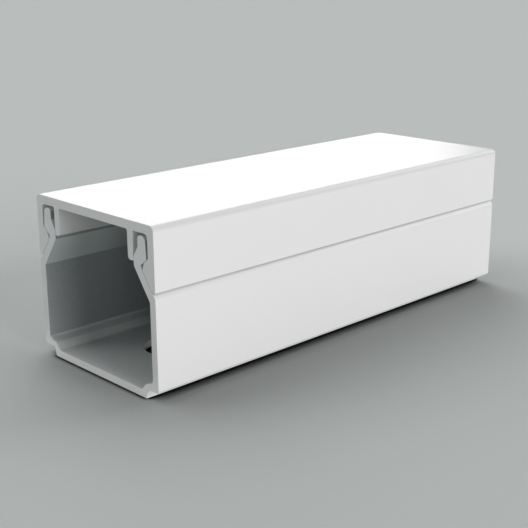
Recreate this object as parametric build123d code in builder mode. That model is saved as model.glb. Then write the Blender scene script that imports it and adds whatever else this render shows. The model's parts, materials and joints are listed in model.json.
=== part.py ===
from build123d import *
from math import cos, radians, tan
import os

# A sawn length of two-part trunking: a base channel that is screwed down and a lid that clips over it.
# X is the width, Y the run of the trunking, Z up from the surface that it is fixed to.
# The origin is the middle of the foot. All sizes are in millimetres.

# Outer sizes
length = 67.5
width = 24.0
height = 21.6

# Walls of the two extrusions
lid_wall = 1.15        # top plate and skirts of the lid
rib_wall = 1.0         # inner ribs of the lid
base_wall = 1.05       # upright walls of the base
leg_wall = 1.08        # leaning legs that carry the tongues
neck_wall = 1.3        # tongue where it passes the hook
floor_wall = 0.95

# Clip joint between the tongue of the base and the lid's slot
lid_depth = 7.95       # top of the lid to the lower edge of its skirt
clip_slot = 2.75       # clear width between a skirt and its rib
clip_clearance = 0.05  # running gap on every face that touches in the joint
nose_gap = 0.35        # over the tongue, under the top plate
head_gap = 0.28        # between the barb and the skirt
head_height = 2.7      # barb to nose of the tongue
head_lean = 0.85       # inner side of the head falls away from the rib by this
nose_height = 1.4      # upright upper part of the head, above that fall
nose_taper = 0.2       # outer side of the head leans in by this
rib_overlap = 0.6      # the rib reaches this far down beside the neck
hook_reach = 0.75      # hook on the skirt, under the barb
hook_angle = 37.0      # slope of the hook and of the barb's underside, degrees
pocket_height = 0.55   # relief under the barb, clear of the hook's tip
pocket_lean = 0.2      # the relief narrows downwards to the leg

# V-groove that hides the seam between lid and base
groove_depth = 0.55
groove_gap = 0.15

# Foot of the base: recessed under each wall so that the trunking sits flat on a rough surface
notch_width = 2.3      # outer face to the edge of the foot
notch_lean = 0.25      # the side of the foot leans in by this on its way up
notch_height = 1.25
step_lean = 0.4        # the floor's step up over the notch stands this far inside it
step_wall = 0.6        # left over the notch at the head of that step

# Fixing hole in the floor
hole_diameter = 7.0
hole_from_end = 11.5   # front end to the centre of the hole

# Corner radii that the die leaves along the run
lid_corner_radius = 0.7
slot_radius = 0.55
rib_root_radius = 0.36
rib_tip_radius = 0.45
nose_outer_radius = 0.7
nose_inner_radius = 0.5
head_radius = 0.8
neck_radius = 0.6
hook_radius = 0.2
leg_root_radius = 0.5
foot_corner_radius = 0.4
notch_radius = 0.4
step_radius = 0.5
edge_radius = 0.1      # every other outer edge

# Places across the section, on the right-hand half
half_width = width / 2
skirt_inner_x = half_width - lid_wall
rib_outer_x = skirt_inner_x - clip_slot
rib_inner_x = rib_outer_x - rib_wall
neck_inner_x = rib_outer_x + clip_clearance
neck_outer_x = neck_inner_x + neck_wall
barb_x = skirt_inner_x - head_gap
wall_inner_x = half_width - base_wall
foot_x = half_width - notch_width
notch_x = foot_x + notch_lean

# Heights in the section
plate_under_z = height - lid_wall
nose_z = plate_under_z - nose_gap
barb_z = nose_z - head_height
rib_tip_z = barb_z - rib_overlap
seam_z = height - lid_depth
shoulder_z = seam_z - groove_gap

# The hook's upper face and the barb's underside are parallel, one clearance apart
hook_slope = tan(radians(hook_angle))
barb_root_z = barb_z - (barb_x - neck_outer_x) * hook_slope
hook_root_z = barb_z + head_gap * hook_slope - clip_clearance / cos(radians(hook_angle))
hook_tip_z = hook_root_z - hook_reach * hook_slope

# The leg leans in from the shoulder at the seam to the pocket under the barb
shoulder = Vector(half_width - groove_depth, shoulder_z)
pocket = Vector(neck_outer_x + pocket_lean, barb_root_z - pocket_height)
leg_run = (pocket - shoulder).normalized()
leg_inward = leg_run.rotate(Axis.Z, 90)


def leg_point(offset, x=None, z=None):
    """Point on the line parallel to the leg's outer face, offset towards the cable space, at an x or a height."""
    start = shoulder + leg_inward * offset
    along = (x - start.X) / leg_run.X if z is None else (z - start.Y) / leg_run.Y
    return start + leg_run * along


def draw_section(corners):
    """Outline of a whole section from its right half: rows of corner point and radius, from centre to centre."""
    points = [point for point, radius in corners]
    radii = [radius for point, radius in corners[1:-1]]
    FilletPolyline(*points, radius=radii)
    mirror(about=Plane.YZ)


base_corners = [
    ((0, 0), 0),
    ((foot_x, 0), edge_radius),
    ((notch_x, notch_height), notch_radius),
    ((half_width, notch_height), foot_corner_radius),
    ((half_width, shoulder_z - groove_depth), edge_radius),
    (shoulder, 0),
    (pocket, 0),
    ((neck_outer_x, barb_root_z), edge_radius),
    ((barb_x, barb_z), hook_radius),
    ((barb_x - nose_taper, nose_z), nose_outer_radius),
    ((neck_inner_x + head_lean, nose_z), nose_inner_radius),
    ((neck_inner_x + head_lean, nose_z - nose_height), head_radius),
    ((neck_inner_x, barb_z), head_radius),
    (leg_point(leg_wall, x=neck_inner_x), neck_radius),
    (leg_point(leg_wall, x=wall_inner_x), leg_root_radius),
    ((wall_inner_x, notch_height + base_wall), step_radius),
    ((notch_x - step_lean, notch_height + step_wall), step_radius),
    ((foot_x - floor_wall, floor_wall), step_radius),
    ((0, floor_wall), 0),
]

lid_corners = [
    ((0, height), 0),
    ((half_width, height), lid_corner_radius),
    ((half_width, seam_z), edge_radius),
    (leg_point(-clip_clearance, z=seam_z), edge_radius),
    (leg_point(-clip_clearance, z=pocket.Y), 0),
    ((skirt_inner_x - hook_reach, hook_tip_z), edge_radius),
    ((skirt_inner_x, hook_root_z), hook_radius),
    ((skirt_inner_x, plate_under_z), slot_radius),
    ((rib_outer_x, plate_under_z), edge_radius),
    ((rib_outer_x, rib_tip_z), edge_radius),
    ((rib_inner_x, rib_tip_z), rib_tip_radius),
    ((rib_inner_x, plate_under_z), rib_root_radius),
    ((0, plate_under_z), 0),
]

with BuildPart() as base:
    with BuildSketch(Plane.XZ.offset(-length / 2)):
        with BuildLine():
            draw_section(base_corners)
        make_face()
    extrude(amount=length)
    with Locations((0, hole_from_end - length / 2, floor_wall)):
        Hole(hole_diameter / 2, depth=floor_wall)

with BuildPart() as lid:
    with BuildSketch(Plane.XZ.offset(-length / 2)):
        with BuildLine():
            draw_section(lid_corners)
        make_face()
    extrude(amount=length)

os.makedirs("parts", exist_ok=True)
base.part.label = "base"
lid.part.label = "lid"
export_step(base.part, "parts/base.step")
export_step(lid.part, "parts/lid.step")
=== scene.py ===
# Cable trunking: a sawn length of base channel with its clip-on lid, both in white extruded rigid PVC.
# Metres, in the frame of the solids: X across, Y along the run, Z up from the foot.

import json
import math

import bmesh
import bpy
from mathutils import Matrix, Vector


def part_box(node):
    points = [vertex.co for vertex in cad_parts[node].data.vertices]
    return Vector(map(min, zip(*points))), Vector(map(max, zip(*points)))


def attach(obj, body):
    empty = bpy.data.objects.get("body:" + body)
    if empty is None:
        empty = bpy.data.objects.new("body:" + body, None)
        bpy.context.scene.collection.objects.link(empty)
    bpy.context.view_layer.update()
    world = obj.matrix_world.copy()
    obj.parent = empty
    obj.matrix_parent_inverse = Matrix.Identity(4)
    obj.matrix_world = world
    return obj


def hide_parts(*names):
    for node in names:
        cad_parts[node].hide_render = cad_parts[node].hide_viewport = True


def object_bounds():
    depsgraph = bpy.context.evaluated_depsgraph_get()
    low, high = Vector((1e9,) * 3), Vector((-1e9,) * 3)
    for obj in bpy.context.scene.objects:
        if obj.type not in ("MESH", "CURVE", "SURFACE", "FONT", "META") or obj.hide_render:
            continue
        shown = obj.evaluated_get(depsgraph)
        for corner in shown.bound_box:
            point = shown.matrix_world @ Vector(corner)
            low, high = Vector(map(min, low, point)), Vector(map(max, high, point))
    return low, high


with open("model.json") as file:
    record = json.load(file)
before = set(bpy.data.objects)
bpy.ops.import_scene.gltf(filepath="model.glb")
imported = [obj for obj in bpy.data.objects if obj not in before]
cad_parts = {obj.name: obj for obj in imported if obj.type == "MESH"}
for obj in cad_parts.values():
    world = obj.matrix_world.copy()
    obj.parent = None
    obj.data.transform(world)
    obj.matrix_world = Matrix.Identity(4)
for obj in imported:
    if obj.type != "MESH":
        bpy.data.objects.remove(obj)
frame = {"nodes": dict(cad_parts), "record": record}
solidLow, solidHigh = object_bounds()
print("frame loaded:", ", ".join(sorted(frame["nodes"])))

mm = 0.001


def toLinear(hexColour):
    channels = [int(hexColour[i:i + 2], 16) / 255 for i in (1, 3, 5)]
    return [c / 12.92 if c <= 0.04045 else ((c + 0.055) / 1.055) ** 2.4 for c in channels] + [1.0]


# Adds a node; an input may be a value, a socket, a node (its first output is meant) or a list of these
def addNode(tree, kind, inputs=None, **settings):
    node = tree.nodes.new(kind)
    for setting, value in settings.items():
        setattr(node, setting, value)
    for socket, value in (inputs or {}).items():
        sources = value if isinstance(value, list) and not isinstance(value[0], float) else [value]
        for source in sources:
            if isinstance(source, bpy.types.Node):
                source = source.outputs[0]
            if isinstance(source, bpy.types.NodeSocket):
                tree.links.new(source, node.inputs[socket])
            else:
                node.inputs[socket].default_value = source
    return node


def emptyMaterial(name):
    material = bpy.data.materials.new(name)
    material.use_nodes = True
    material.node_tree.nodes.clear()
    return material, material.node_tree


# Camera, at the photograph's angle

cameraView = {
    "place": (100.068, -101.595, 50.223),  # mm
    "turn": (73.355, 0.2346, 45.9115),  # degrees about X, Y, Z
    "lens": 69.65,  # mm, on a 36 mm sensor
}

camera = bpy.data.objects.new("camera", bpy.data.cameras.new("camera"))
bpy.context.scene.collection.objects.link(camera)
camera.location = [v * mm for v in cameraView["place"]]
camera.rotation_euler = [math.radians(v) for v in cameraView["turn"]]
camera.data.lens = cameraView["lens"]
camera.data.sensor_width = 36
camera.data.clip_start = 0.005
camera.data.clip_end = 50
bpy.context.scene.camera = camera
bpy.context.scene.view_settings.view_transform = "Standard"
print("camera set")


# Studio: a pale grey board, lit by soft lamps from all round

studio = {
    "floorSize": 12.0,  # metres across
    "floorColour": "#b5b9b8", "farPaintedLight": "#c0c4c3",  # the board near the piece, and painted light that makes it paler well behind it
    "behind": (-0.72, 0.69, 0.0),  # the way that counts as behind
    "farFrom": -16.0, "farTo": 36.0,  # mm behind the middle, where the painted light starts and is full
    "shade": 0.45, "shadeReach": 45.0,  # how much the piece shades the board, and how far out in mm
    "paintedShadowColour": "#0c0e0f", "contactShadowReach": 0.9,  # painted shadow: the dark line right at the foot, and its reach in mm
    "contactShadowFull": 0.62, "contactShadowEnd": 0.97,  # how open the board is where that line is full and ends
    "underShadowFull": 0.1, "underShadowEnd": 0.4,  # the same for the painted shadow right under the piece
    "backgroundColour": "#b9bdbc",  # what the board comes out as, so that no horizon shows
}

# Where each lamp stands (degrees round from +X, degrees up), how wide it looks in degrees, and its strength
lamps = {
    "keyLamp": {"round": 155, "up": 53, "width": 50, "strength": 1.44},
    "leftLamp": {"round": 200, "up": 55, "width": 50, "strength": 0.58},
    "backLamp": {"round": 80, "up": 30, "width": 40, "strength": 0.59},  # its shadow falls past the sawn end
    "rightLamp": {"round": 6, "up": 11, "width": 44, "strength": 2.63},
    "frontLamp": {"round": 225, "up": 25, "width": 40, "strength": 0.54},
    "lowFrontLamp": {"round": 315, "up": 15, "width": 30, "strength": 0.33},
    "sheenLamp": {"round": 144.5, "up": 15, "width": 40, "strength": 0.44},  # low behind, glances off the top
}


# Flat board without any shine, painted paler behind the piece as painted light; seen from the camera it
# carries painted shadow, soft near the piece, and darker at its foot
def paintedBoard(values):
    material, tree = emptyMaterial("matt painted board")
    near, close = [addNode(tree, "ShaderNodeAmbientOcclusion", {
        "Distance": values[reach] * mm}, samples=8).outputs["AO"] for reach in ("shadeReach", "contactShadowReach")]
    place = addNode(tree, "ShaderNodeTexCoord").outputs["Object"]
    behind = addNode(tree, "ShaderNodeVectorMath", {
        0: place, 1: values["behind"]}, operation="DOT_PRODUCT").outputs["Value"]
    far = addNode(tree, "ShaderNodeMapRange", {
        "Value": behind, "From Min": values["farFrom"] * mm, "From Max": values["farTo"] * mm})
    plain = addNode(tree, "ShaderNodeMix", {
        0: far, 6: toLinear(values["floorColour"]), 7: toLinear(values["farPaintedLight"]),
        }, data_type="RGBA").outputs[2]
    clear = addNode(tree, "ShaderNodeMapRange", {
        "Value": close, "From Min": values["contactShadowFull"], "From Max": values["contactShadowEnd"],
        }, interpolation_type="SMOOTHSTEP")
    shaded = addNode(tree, "ShaderNodeMix", {
        0: clear, 6: toLinear(values["paintedShadowColour"]), 7: plain}, data_type="RGBA").outputs[2]
    shaded = addNode(tree, "ShaderNodeMix", {
        0: values["shade"], 6: shaded, 7: near}, data_type="RGBA", blend_type="MULTIPLY").outputs[2]
    uncovered = addNode(tree, "ShaderNodeMapRange", {
        "Value": near, "From Min": values["underShadowFull"], "From Max": values["underShadowEnd"]})
    shaded = addNode(tree, "ShaderNodeMix", {
        0: uncovered, 6: toLinear(values["paintedShadowColour"]), 7: shaded}, data_type="RGBA").outputs[2]
    # the painted shadow shows to the camera alone; light bouncing off the board finds it plain
    seen = addNode(tree, "ShaderNodeLightPath").outputs["Is Camera Ray"]
    colour = addNode(tree, "ShaderNodeMix", {0: seen, 6: plain, 7: shaded}, data_type="RGBA").outputs[2]
    surface = addNode(tree, "ShaderNodeBsdfDiffuse", {"Color": colour})
    addNode(tree, "ShaderNodeOutputMaterial", {"Surface": surface})
    return material


def makeFloor(values):
    half = values["floorSize"] / 2
    corners = [(-half, -half, 0), (half, -half, 0), (half, half, 0), (-half, half, 0)]
    mesh = bpy.data.meshes.new("floor")
    mesh.from_pydata(corners, [], [(0, 1, 2, 3)])
    mesh.materials.append(paintedBoard(values))
    floor = bpy.data.objects.new("floor", mesh)
    bpy.context.scene.collection.objects.link(floor)


# What shows past the board's edge; it gives no light of its own
def makeSurround(values):
    world = bpy.data.worlds.new("studioSurround")
    world.use_nodes = True
    tree = world.node_tree
    tree.nodes.clear()
    path = addNode(tree, "ShaderNodeLightPath").outputs
    seen = path["Is Camera Ray"]
    for ray in ("Is Glossy Ray", "Is Transmission Ray"):
        seen = addNode(tree, "ShaderNodeMath", {0: seen, 1: path[ray]}, operation="MAXIMUM")
    shown = addNode(tree, "ShaderNodeBackground", {
        "Color": toLinear(values["backgroundColour"]), "Strength": seen})
    addNode(tree, "ShaderNodeOutputWorld", {"Surface": shown})
    bpy.context.scene.world = world


def makeLamp(name, values):
    lamp = bpy.data.objects.new(name, bpy.data.lights.new(name, "SUN"))
    lamp.data.energy = values["strength"]
    lamp.data.angle = math.radians(values["width"])
    turn = math.radians(values["round"])
    rise = math.radians(values["up"])
    comesFrom = Vector((math.cos(turn) * math.cos(rise), math.sin(turn) * math.cos(rise), math.sin(rise)))
    lamp.rotation_euler = comesFrom.to_track_quat("Z", "Y").to_euler()
    bpy.context.scene.collection.objects.link(lamp)


makeFloor(studio)
makeSurround(studio)
for name, values in lamps.items():
    makeLamp(name, values)
print("studio lit")


# Finishes

extrudedFinish = {
    "colour": "#e8e7e7", "shade": "#e6e5e5",  # the white, and its faint drift along the run
    "roughness": 0.22, "streakRoughness": 0.04,  # how dull it is, and how much that swings from band to band
    "dieLine": 0.45,  # mm between die lines; real ones stand nearer 0.1 and would not show
    "dieLineHeight": 0.0003,  # mm
    "stretch": 100,  # how many times longer than wide lines and bands are
    "streak": 2.4,  # mm across a band of higher or lower gloss
    "drift": 15.0,  # mm, patches that cooled a little sooner
    "driftHeight": 0.003,  # mm
    "refraction": 1.53,
    "insideWallShade": "#959a9b", "insideFloorShade": "#c6cdcc",  # painted shade under the lid, darkest on the walls
    "deepWallShade": "#828889", "deepFloorShade": "#8e9595",  # deeper painted shade, away from the open ends
    "deepShadeFrom": 26.8, "deepShadeTo": 14.5,  # mm from the middle of the run, where the deeper painted shade starts and where it is full
    "upright": (0.90, 0.98),  # how squarely a face looks sideways, from where it starts to count as a wall
    "insideRoughness": 0.15,  # how much duller the inside is
    "coverReach": 80.0,  # mm that the looks for a lid overhead go
    "coverLean": 1.5, "coverTilt": 0.6,  # how far they lean along the run, and off the wall, for 1 up
    "openFrom": 0.14, "openFull": 0.20,  # share of sky at which the inside's painted shade starts to clear, and is gone
    "seamShade": "#b4b6b6",  # painted shade in the groove under the lid's edge
    "seamShadeFrom": 13.1, "seamShadeTo": 13.5, "seamShadeEnd": 13.6,  # mm above the foot: start, full, end
    "seamShadeSide": 11.3,  # mm from the middle; nothing further in has any
    "roundedEdgeShade": "#d7d7d7",  # painted shade on the lid's rounded edges
    "roundedEdgeShadeFrom": 20.8, "roundedEdgeShadeTo": 21.15,  # mm above the foot, where that starts and where it is full
    "rounded": (0.1, 0.35),  # how far a face must look sideways for that
}


# 1 where a lid lies overhead and the inside gets its painted shade: one look leans to each end of the run,
# and the one that sees less sky counts
def coveredPart(tree, values, normal):
    looks = []
    for end in (-1, 1):
        upward = addNode(tree, "ShaderNodeVectorMath", {
            0: normal, 1: [values["coverTilt"]] * 3, 2: (0.0, end * values["coverLean"], 1.0),
            }, operation="MULTIPLY_ADD")
        upward = addNode(tree, "ShaderNodeVectorMath", {0: upward}, operation="NORMALIZE")
        looks.append(addNode(tree, "ShaderNodeAmbientOcclusion", {
            "Normal": upward, "Distance": values["coverReach"] * mm}, samples=16).outputs["AO"])
    sky = addNode(tree, "ShaderNodeMath", {0: looks[0], 1: looks[1]}, operation="MINIMUM")
    return addNode(tree, "ShaderNodeMapRange", {
        "Value": sky, "From Min": values["openFull"], "From Max": values["openFrom"]})


# The painted shade of the cable space under the lid, darker on the walls and further in
def insideShadeColour(tree, values, where, sideways):
    along = addNode(tree, "ShaderNodeMath", {0: where["Y"]}, operation="ABSOLUTE")
    deepShade = addNode(tree, "ShaderNodeMapRange", {
        "Value": along, "From Min": values["deepShadeFrom"] * mm, "From Max": values["deepShadeTo"] * mm,
        }, interpolation_type="SMOOTHSTEP")
    upright = addNode(tree, "ShaderNodeMapRange", {
        "Value": sideways, "From Min": values["upright"][0], "From Max": values["upright"][1]})
    tones = []
    for floor, wall in (("insideFloorShade", "insideWallShade"), ("deepFloorShade", "deepWallShade")):
        tones.append(addNode(tree, "ShaderNodeMix", {
            0: upright, 6: toLinear(values[floor]), 7: toLinear(values[wall])}, data_type="RGBA").outputs[2])
    return addNode(tree, "ShaderNodeMix", {0: deepShade, 6: tones[0], 7: tones[1]}, data_type="RGBA").outputs[2]


# Painted shade in the seam's groove, on the base alone, and painted shade on the lid's rounded edges
def seamAndEdgeShade(tree, values, where, sideways, colour):
    fromMiddle = addNode(tree, "ShaderNodeMath", {0: where["X"]}, operation="ABSOLUTE")
    outside = addNode(tree, "ShaderNodeMath", {
        0: fromMiddle, 1: values["seamShadeSide"] * mm}, operation="GREATER_THAN")
    belowLid = addNode(tree, "ShaderNodeMath", {
        0: where["Z"], 1: values["seamShadeEnd"] * mm}, operation="LESS_THAN")
    seamShade = addNode(tree, "ShaderNodeMapRange", {
        "Value": where["Z"], "From Min": values["seamShadeFrom"] * mm, "From Max": values["seamShadeTo"] * mm,
        }, interpolation_type="SMOOTHSTEP")
    for limit in (outside, belowLid):
        seamShade = addNode(tree, "ShaderNodeMath", {0: seamShade, 1: limit}, operation="MULTIPLY")
    colour = addNode(tree, "ShaderNodeMix", {
        0: seamShade, 6: colour, 7: toLinear(values["seamShade"])}, data_type="RGBA").outputs[2]
    high = addNode(tree, "ShaderNodeMapRange", {
        "Value": where["Z"], "From Min": values["roundedEdgeShadeFrom"] * mm, "From Max": values["roundedEdgeShadeTo"] * mm})
    rounded = addNode(tree, "ShaderNodeMapRange", {
        "Value": sideways, "From Min": values["rounded"][0], "From Max": values["rounded"][1]})
    roundedEdgeShade = addNode(tree, "ShaderNodeMath", {0: high, 1: rounded}, operation="MULTIPLY")
    return addNode(tree, "ShaderNodeMix", {
        0: roundedEdgeShade, 6: colour, 7: toLinear(values["roundedEdgeShade"])}, data_type="RGBA").outputs[2]


# White rigid PVC pushed through a die: satin, with bands of gloss and faint lines that all run lengthways
def extrudedRigidPvc(values):
    material, tree = emptyMaterial("extruded rigid PVC")
    place = addNode(tree, "ShaderNodeTexCoord").outputs["Object"]
    normal = addNode(tree, "ShaderNodeTexCoord").outputs["Normal"]
    where = addNode(tree, "ShaderNodeSeparateXYZ", {0: place}).outputs
    sideways = addNode(tree, "ShaderNodeSeparateXYZ", {0: normal}).outputs["X"]
    sideways = addNode(tree, "ShaderNodeMath", {0: sideways}, operation="ABSOLUTE")
    lengthways = addNode(tree, "ShaderNodeMapping", {
        "Vector": place, "Scale": (1, 1 / values["stretch"], 1)})
    dieLines = addNode(tree, "ShaderNodeTexNoise", {
        "Vector": lengthways, "Scale": 1 / (values["dieLine"] * mm), "Detail": 2, "Roughness": 0.6})
    streaks = addNode(tree, "ShaderNodeTexNoise", {
        "Vector": lengthways, "Scale": 1 / (values["streak"] * mm), "Detail": 3, "Roughness": 0.55})
    drift = addNode(tree, "ShaderNodeTexNoise", {
        "Vector": place, "Scale": 1 / (values["drift"] * mm), "Detail": 1})

    # painted shade under the lid, cleared where no lid lies overhead
    inside = addNode(tree, "ShaderNodeAttribute", attribute_name="inside").outputs["Fac"]
    insideShadeShare = addNode(tree, "ShaderNodeMath", {
        0: inside, 1: coveredPart(tree, values, normal)}, operation="MULTIPLY")
    colour = addNode(tree, "ShaderNodeMix", {
        0: drift, 6: toLinear(values["colour"]), 7: toLinear(values["shade"])}, data_type="RGBA").outputs[2]
    insideShade = insideShadeColour(tree, values, where, sideways)
    colour = addNode(tree, "ShaderNodeMix", {0: insideShadeShare, 6: colour, 7: insideShade}, data_type="RGBA").outputs[2]
    colour = seamAndEdgeShade(tree, values, where, sideways, colour)

    gloss = addNode(tree, "ShaderNodeMapRange", {
        "Value": streaks, "From Min": 0.3, "From Max": 0.7,  # nearly all of the noise lies between these
        "To Min": values["roughness"] - values["streakRoughness"] / 2,
        "To Max": values["roughness"] + values["streakRoughness"] / 2})
    gloss = addNode(tree, "ShaderNodeMath", {
        0: inside, 1: values["insideRoughness"], 2: gloss}, operation="MULTIPLY_ADD")
    wave = addNode(tree, "ShaderNodeBump", {"Height": drift, "Distance": values["driftHeight"] * mm})
    relief = addNode(tree, "ShaderNodeBump", {
        "Height": dieLines, "Distance": values["dieLineHeight"] * mm, "Normal": wave})
    surface = addNode(tree, "ShaderNodeBsdfPrincipled", {
        "Base Color": colour, "Roughness": gloss, "IOR": values["refraction"], "Normal": relief})
    addNode(tree, "ShaderNodeOutputMaterial", {"Surface": surface})
    return material


sawnFinish = {
    "colour": "#e6e8e8", "dust": "#dee0e0",
    "paintedFootLight": "#fbfbfb",  # painted light low on the cut end, down at the foot
    "paintedFootLightFrom": 5.0, "paintedFootLightTo": 0.8,  # mm above the foot, where the painted light starts and where it is full
    "roughness": 0.52,
    "refraction": 1.53,
    "sawMark": 0.34,  # mm between saw marks; a fine blade leaves about 0.1, too fine to show
    "sawMarkHeight": 0.006,  # mm
    "sawAngle": 33,  # degrees that the marks lean across the end
    "grain": 0.12,  # mm
    "grainHeight": 0.003,  # mm
}


# The same PVC where the blade or the drill went through: dull, with fine slanting marks, a little dust, and
# painted light low down near the foot
def sawnRigidPvc(values):
    material, tree = emptyMaterial("sawn rigid PVC")
    place = addNode(tree, "ShaderNodeTexCoord").outputs["Object"]
    leaning = addNode(tree, "ShaderNodeMapping", {
        "Vector": place, "Rotation": (0, math.radians(values["sawAngle"]), 0)})
    sawMarks = addNode(tree, "ShaderNodeTexWave", {
        "Vector": leaning, "Scale": 0.314 / (values["sawMark"] * mm),  # at scale 1 its bands are 0.314 apart
        "Distortion": 1.2, "Detail": 2, "Detail Scale": 0.4}).outputs["Fac"]
    grain = addNode(tree, "ShaderNodeTexNoise", {
        "Vector": place, "Scale": 1 / (values["grain"] * mm), "Detail": 2})
    colour = addNode(tree, "ShaderNodeMix", {
        0: grain, 6: toLinear(values["colour"]), 7: toLinear(values["dust"])}, data_type="RGBA").outputs[2]
    level = addNode(tree, "ShaderNodeSeparateXYZ", {0: place}).outputs["Z"]
    paintedFootLight = addNode(tree, "ShaderNodeMapRange", {
        "Value": level, "From Min": values["paintedFootLightFrom"] * mm, "From Max": values["paintedFootLightTo"] * mm,
        }, interpolation_type="SMOOTHSTEP")
    colour = addNode(tree, "ShaderNodeMix", {
        0: paintedFootLight, 6: colour, 7: toLinear(values["paintedFootLight"])}, data_type="RGBA").outputs[2]
    rough = addNode(tree, "ShaderNodeBump", {"Height": grain, "Distance": values["grainHeight"] * mm})
    relief = addNode(tree, "ShaderNodeBump", {
        "Height": sawMarks, "Distance": values["sawMarkHeight"] * mm, "Normal": rough})
    surface = addNode(tree, "ShaderNodeBsdfPrincipled", {
        "Base Color": colour, "Roughness": values["roughness"], "IOR": values["refraction"],
        "Normal": relief})
    addNode(tree, "ShaderNodeOutputMaterial", {"Surface": surface})
    return material


finishes = {"Extruded": extrudedRigidPvc(extrudedFinish), "Sawn": sawnRigidPvc(sawnFinish)}
print("finishes ready")


# Geometry Nodes: a section pushed out to its length, and the fixing hole drilled through its floor

def newTree(name, sockets):
    tree = bpy.data.node_groups.new(name, "GeometryNodeTree")
    tree.interface.new_socket("Geometry", in_out="INPUT", socket_type="NodeSocketGeometry")
    for socket, kind in sockets.items():
        tree.interface.new_socket(socket, in_out="INPUT", socket_type="NodeSocket" + kind)
    tree.interface.new_socket("Geometry", in_out="OUTPUT", socket_type="NodeSocketGeometry")
    return tree, addNode(tree, "NodeGroupInput").outputs


# Smooth shading with crisp corners, then a material for each selection of faces
def endTree(tree, geometry, sharpAngle, parts):
    smooth = addNode(tree, "GeometryNodeSetShadeSmooth", {
        "Geometry": geometry, "Shade Smooth": True}, domain="FACE")
    angle = addNode(tree, "GeometryNodeInputMeshEdgeAngle")
    corner = addNode(tree, "FunctionNodeCompare", {0: angle, 1: sharpAngle}, operation="GREATER_THAN")
    crisp = addNode(tree, "GeometryNodeSetShadeSmooth", {
        "Geometry": smooth, "Selection": corner, "Shade Smooth": False}, domain="EDGE")
    geometry = addNode(tree, "GeometryNodeRealizeInstances", {"Geometry": crisp})
    for selection, material in parts:
        geometry = addNode(tree, "GeometryNodeSetMaterial", {
            "Geometry": geometry, "Selection": selection, "Material": material})
    addNode(tree, "NodeGroupOutput", {0: geometry})
    return tree


# The section lies at the near end and faces along the run; "outward" on its points leads out of the wall
def sawnLengthTree():
    tree, given = newTree("sawnLength", {
        "Length": "Float", "Cut Softening": "Float", "Sharp Angle": "Float",
        "Extruded": "Material", "Sawn": "Material"})
    length, soft = given["Length"], given["Cut Softening"]

    steps = []
    for share in (0.134, 0.366, 0.5):  # steps of a quarter round, as shares of its radius
        steps.append(addNode(tree, "ShaderNodeMath", {0: soft, 1: share}, operation="MULTIPLY"))
    middle = addNode(tree, "ShaderNodeMath", {0: soft, 1: -2.0, 2: length}, operation="MULTIPLY_ADD")
    run = {"Mesh": given["Geometry"]}
    for step in steps + [middle] + steps[::-1]:
        pushed = addNode(tree, "GeometryNodeExtrudeMesh", {**run, "Offset Scale": step, "Individual": False})
        run = {"Mesh": pushed.outputs["Mesh"], "Selection": pushed.outputs["Top"]}
    nearEnd = addNode(tree, "GeometryNodeFlipFaces", {"Mesh": given["Geometry"]})
    shell = addNode(tree, "GeometryNodeJoinGeometry", {"Geometry": [nearEnd, run["Mesh"]]})
    shell = addNode(tree, "GeometryNodeMergeByDistance", {"Geometry": shell, "Distance": 0.0005 * mm})

    place = addNode(tree, "ShaderNodeSeparateXYZ", {0: addNode(tree, "GeometryNodeInputPosition")})
    along = addNode(tree, "ShaderNodeMath", {0: place.outputs["Y"]}, operation="ABSOLUTE")
    half = addNode(tree, "ShaderNodeMath", {0: length, 1: 0.5}, operation="MULTIPLY")
    softFrom = addNode(tree, "ShaderNodeMath", {0: half, 1: soft}, operation="SUBTRACT")
    nearCut = addNode(tree, "ShaderNodeMapRange", {"Value": along, "From Min": softFrom, "From Max": half})
    turn = addNode(tree, "ShaderNodeMath", {0: nearCut}, operation="ARCSINE")  # how far round the soft edge
    inset = addNode(tree, "ShaderNodeMath", {0: turn}, operation="COSINE")
    inset = addNode(tree, "ShaderNodeMath", {0: inset, 1: 1.0}, operation="SUBTRACT")
    inset = addNode(tree, "ShaderNodeMath", {0: inset, 1: soft}, operation="MULTIPLY")
    outward = addNode(tree, "GeometryNodeInputNamedAttribute", {"Name": "outward"}, data_type="FLOAT_VECTOR")
    inward = addNode(tree, "ShaderNodeVectorMath", {0: outward, "Scale": inset}, operation="SCALE")
    shell = addNode(tree, "GeometryNodeSetPosition", {"Geometry": shell, "Offset": inward})

    facing = addNode(tree, "ShaderNodeSeparateXYZ", {0: addNode(tree, "GeometryNodeInputNormal")})
    facing = addNode(tree, "ShaderNodeMath", {0: facing.outputs["Y"]}, operation="ABSOLUTE")
    cut = addNode(tree, "FunctionNodeCompare", {0: facing, 1: 0.6}, operation="GREATER_THAN")  # faces an end
    uncut = addNode(tree, "FunctionNodeBooleanMath", {0: cut}, operation="NOT")
    return endTree(tree, shell, given["Sharp Angle"], [(uncut, given["Extruded"]), (cut, given["Sawn"])])


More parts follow.
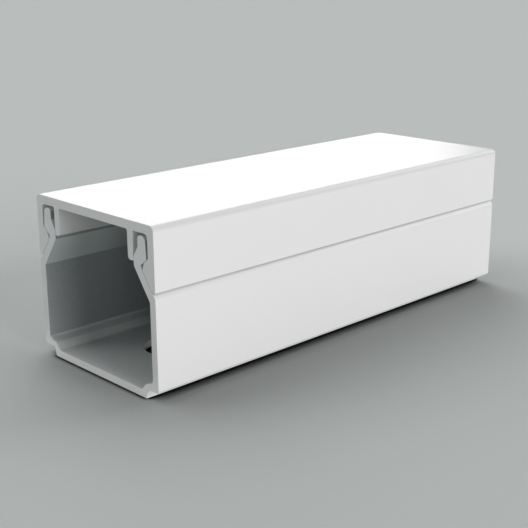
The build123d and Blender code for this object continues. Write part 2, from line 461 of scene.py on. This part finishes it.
# A drill goes down through the floor at "Centre" and leaves a small flare at both rims
def fixingHoleTree():
    tree, given = newTree("fixingHole", {
        "Centre": "Vector", "Radius": "Float", "Wall": "Float", "Rim Softening": "Float", "Sides": "Int",
        "Sharp Angle": "Float", "Drilled": "Material"})
    radius, wall, soft, sides = [given[name] for name in ("Radius", "Wall", "Rim Softening", "Sides")]

    reach = addNode(tree, "ShaderNodeMath", {0: wall, 1: 3.0}, operation="MULTIPLY")  # well past both faces
    drill = addNode(tree, "GeometryNodeMeshCylinder", {"Vertices": sides, "Radius": radius, "Depth": reach})
    flareHeight = addNode(tree, "ShaderNodeMath", {0: soft, 1: 3.0}, operation="MULTIPLY")
    wide = addNode(tree, "ShaderNodeMath", {0: soft, 1: 2.0, 2: radius}, operation="MULTIPLY_ADD")
    tight = addNode(tree, "ShaderNodeMath", {0: soft, 1: -1.0, 2: radius}, operation="MULTIPLY_ADD")
    cutters = [drill]
    # a cone of 45 degrees at each face, set so deep that it opens the rim by the softening
    for face, sink, top, bottom in ((0.5, -2.0, wide, tight), (-0.5, -1.0, tight, wide)):
        flare = addNode(tree, "GeometryNodeMeshCone", {
            "Vertices": sides, "Depth": flareHeight, "Radius Top": top, "Radius Bottom": bottom})
        level = addNode(tree, "ShaderNodeMath", {0: wall, 1: face}, operation="MULTIPLY")
        level = addNode(tree, "ShaderNodeMath", {0: soft, 1: sink, 2: level}, operation="MULTIPLY_ADD")
        lift = addNode(tree, "ShaderNodeCombineXYZ", {"Z": level})
        cutters.append(addNode(tree, "GeometryNodeTransform", {"Geometry": flare, "Translation": lift}))
    placed = []
    for cutter in cutters:
        cutter = addNode(tree, "GeometryNodeTransform", {"Geometry": cutter, "Translation": given["Centre"]})
        placed.append(addNode(tree, "GeometryNodeSetMaterial", {
            "Geometry": cutter, "Material": given["Drilled"]}))
    drilled = addNode(tree, "GeometryNodeMeshBoolean", {
        "Mesh 1": given["Geometry"], "Mesh 2": placed}, operation="DIFFERENCE", solver="EXACT")

    place = addNode(tree, "GeometryNodeInputPosition")
    across = addNode(tree, "ShaderNodeVectorMath", {0: place, 1: given["Centre"]}, operation="SUBTRACT")
    across = addNode(tree, "ShaderNodeVectorMath", {0: across, 1: (1.0, 1.0, 0.0)}, operation="MULTIPLY")
    across = addNode(tree, "ShaderNodeVectorMath", {0: across}, operation="LENGTH").outputs["Value"]
    close = addNode(tree, "FunctionNodeCompare", {0: across, 1: wide}, operation="LESS_THAN")
    facing = addNode(tree, "ShaderNodeSeparateXYZ", {0: addNode(tree, "GeometryNodeInputNormal")})
    facing = addNode(tree, "ShaderNodeMath", {0: facing.outputs["Z"]}, operation="ABSOLUTE")
    steep = addNode(tree, "FunctionNodeCompare", {0: facing, 1: 0.9}, operation="LESS_THAN")
    bored = addNode(tree, "FunctionNodeBooleanMath", {0: close, 1: steep}, operation="AND")

    # the floor's upper face round the hole takes the inside's painted shade, its underside none
    level = addNode(tree, "ShaderNodeSeparateXYZ", {0: place}).outputs["Z"]
    middle = addNode(tree, "ShaderNodeSeparateXYZ", {0: given["Centre"]}).outputs["Z"]
    upperRim = addNode(tree, "FunctionNodeCompare", {0: level, 1: middle}, operation="GREATER_THAN")
    marked = addNode(tree, "GeometryNodeStoreNamedAttribute", {
        "Geometry": drilled, "Selection": close, "Name": "inside", "Value": upperRim,
        }, data_type="FLOAT", domain="POINT")
    return endTree(tree, marked, given["Sharp Angle"], [(bored, given["Drilled"])])


sawnLength = sawnLengthTree()
fixingHole = fixingHoleTree()
print("trees ready")


# The outline of a solid's near end, in order round the wall
def outlineOf(node):
    shape = bmesh.new()
    shape.from_mesh(frame["nodes"][node].data)
    bmesh.ops.remove_doubles(shape, verts=shape.verts, dist=0.0001 * mm)
    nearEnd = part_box(node)[0].y
    endFaces = [f for f in shape.faces if all(abs(v.co.y - nearEnd) < 0.001 * mm for v in f.verts)]
    neighbours = {}
    for edge in shape.edges:
        if sum(face in endFaces for face in edge.link_faces) == 1:
            for a, b in (edge.verts, reversed(edge.verts)):
                neighbours.setdefault(a, []).append(b)
    start = min(neighbours, key=lambda v: (round(v.co.z, 6), round(v.co.x, 6)))
    loop, nextOne = [start], neighbours[start][0]
    while nextOne != start:
        loop.append(nextOne)
        nextOne = [v for v in neighbours[nextOne] if v != loop[-2]][0]
    points = [(v.co.x, v.co.z) for v in loop]
    shape.free()
    turning = sum(a[0] * b[1] - b[0] * a[1] for a, b in zip(points, points[1:] + points[:1]))
    return (points if turning < 0 else points[::-1]), nearEnd


# 0 on the points that show from outside, from the foot or the top to the seam; all others take the sides'
# share of the inside's painted shade
def insideOf(points, sides):
    inside = [sides["paintedShadeShare"]] * len(points)
    first = points.index(sides["from"](points, key=lambda point: point[1]))
    below = points[first][1] < sides["seam"]
    for step in (1, -1):
        index = first
        while (points[index % len(points)][1] < sides["seam"]) == below:
            inside[index % len(points)] = 0.0
            index += step
    return inside


# The flat section as one face; its points know their way out of the wall and whether they are inside, as
# their share of the inside's painted shade
def sectionMesh(name, node, sides):
    points, nearEnd = outlineOf(node)
    mesh = bpy.data.meshes.new(name)
    mesh.from_pydata([(x, nearEnd, z) for x, z in points], [], [list(range(len(points)))])
    ways = []
    for before, here, after in zip(points[-1:] + points[:-1], points, points[1:] + points[:1]):
        faces = [Vector((a[1] - b[1], b[0] - a[0])).normalized() for a, b in ((before, here), (here, after))]
        mitre = (faces[0] + faces[1]) / max(0.4, 1 + faces[0].dot(faces[1]))  # no long spikes at keen corners
        ways += [mitre.x, 0.0, mitre.y]
    mesh.attributes.new("outward", "FLOAT_VECTOR", "POINT").data.foreach_set("vector", ways)
    mesh.attributes.new("inside", "FLOAT", "POINT").data.foreach_set("value", insideOf(points, sides))
    mesh.materials.append(finishes["Extruded"])
    return mesh


def makePiece(name, node, section, trees):
    piece = bpy.data.objects.new(name, section)
    bpy.context.scene.collection.objects.link(piece)
    for tree, inputs in trees:
        modifier = piece.modifiers.new(tree.name, "NODES")
        modifier.node_group = tree
        sockets = {item.name: item.identifier for item in tree.interface.items_tree if item.in_out == "INPUT"}
        for socket, value in inputs.items():
            modifier[sockets[socket]] = value
    evenShading = piece.modifiers.new("evenShading", "WEIGHTED_NORMAL")  # flats stay flat beside small radii
    evenShading.keep_sharp = True
    evaluated = piece.evaluated_get(bpy.context.evaluated_depsgraph_get())
    grown = bpy.data.meshes.new_from_object(evaluated)
    piece.modifiers.clear()
    piece.data = grown
    grown.name = name
    shape = bmesh.new()
    shape.from_mesh(grown)
    shape.normal_update()
    openEdges = sum(not edge.is_manifold for edge in shape.edges)
    volume = shape.calc_volume() / mm ** 3
    print(f"{name}: {len(shape.faces)} faces, {openEdges} open edges, {volume:.0f} cubic mm")
    shape.free()
    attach(piece, node)
    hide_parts(node)


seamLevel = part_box("lid")[0].z  # the lid's lower edge

# Both pieces were sawn in one cut
sawnRun = {
    "Length": solidHigh.y - solidLow.y,
    "Cut Softening": 0.04 * mm,
    "Sharp Angle": math.radians(38),  # corners keener than this stay crisp
    "Extruded": finishes["Extruded"],
    "Sawn": finishes["Sawn"],
}

# The fixing hole, as the record gives it
hole = next(mount for mount in frame["record"]["mounts"] if mount["name"] == "fixing_hole")
fixing = {
    "Centre": hole["pos_m"],
    "Radius": hole["dims"]["r_mm"] * mm,
    "Wall": hole["dims"]["length_mm"] * mm,
    "Rim Softening": 0.08 * mm,
    "Sides": 128,
    "Sharp Angle": math.radians(38),
    "Drilled": finishes["Sawn"],
}

baseSides = {
    "from": min, "seam": seamLevel - 0.2 * mm,  # its outside goes up from the foot to the groove at the seam
    "paintedShadeShare": 1.0,  # how much of the inside's painted shade the rest takes on
}
baseSection = sectionMesh("baseSection", "base", baseSides)
makePiece("trunkingBase", "base", baseSection, [(sawnLength, sawnRun), (fixingHole, fixing)])

lidSides = {
    "from": max, "seam": seamLevel + 0.05 * mm,  # its outside goes down from the top to the skirts' edge
    # the lid's inside takes only a little of the painted shade
    "paintedShadeShare": 0.15,
}
lidSection = sectionMesh("lidSection", "lid", lidSides)
makePiece("trunkingLid", "lid", lidSection, [(sawnLength, sawnRun)])
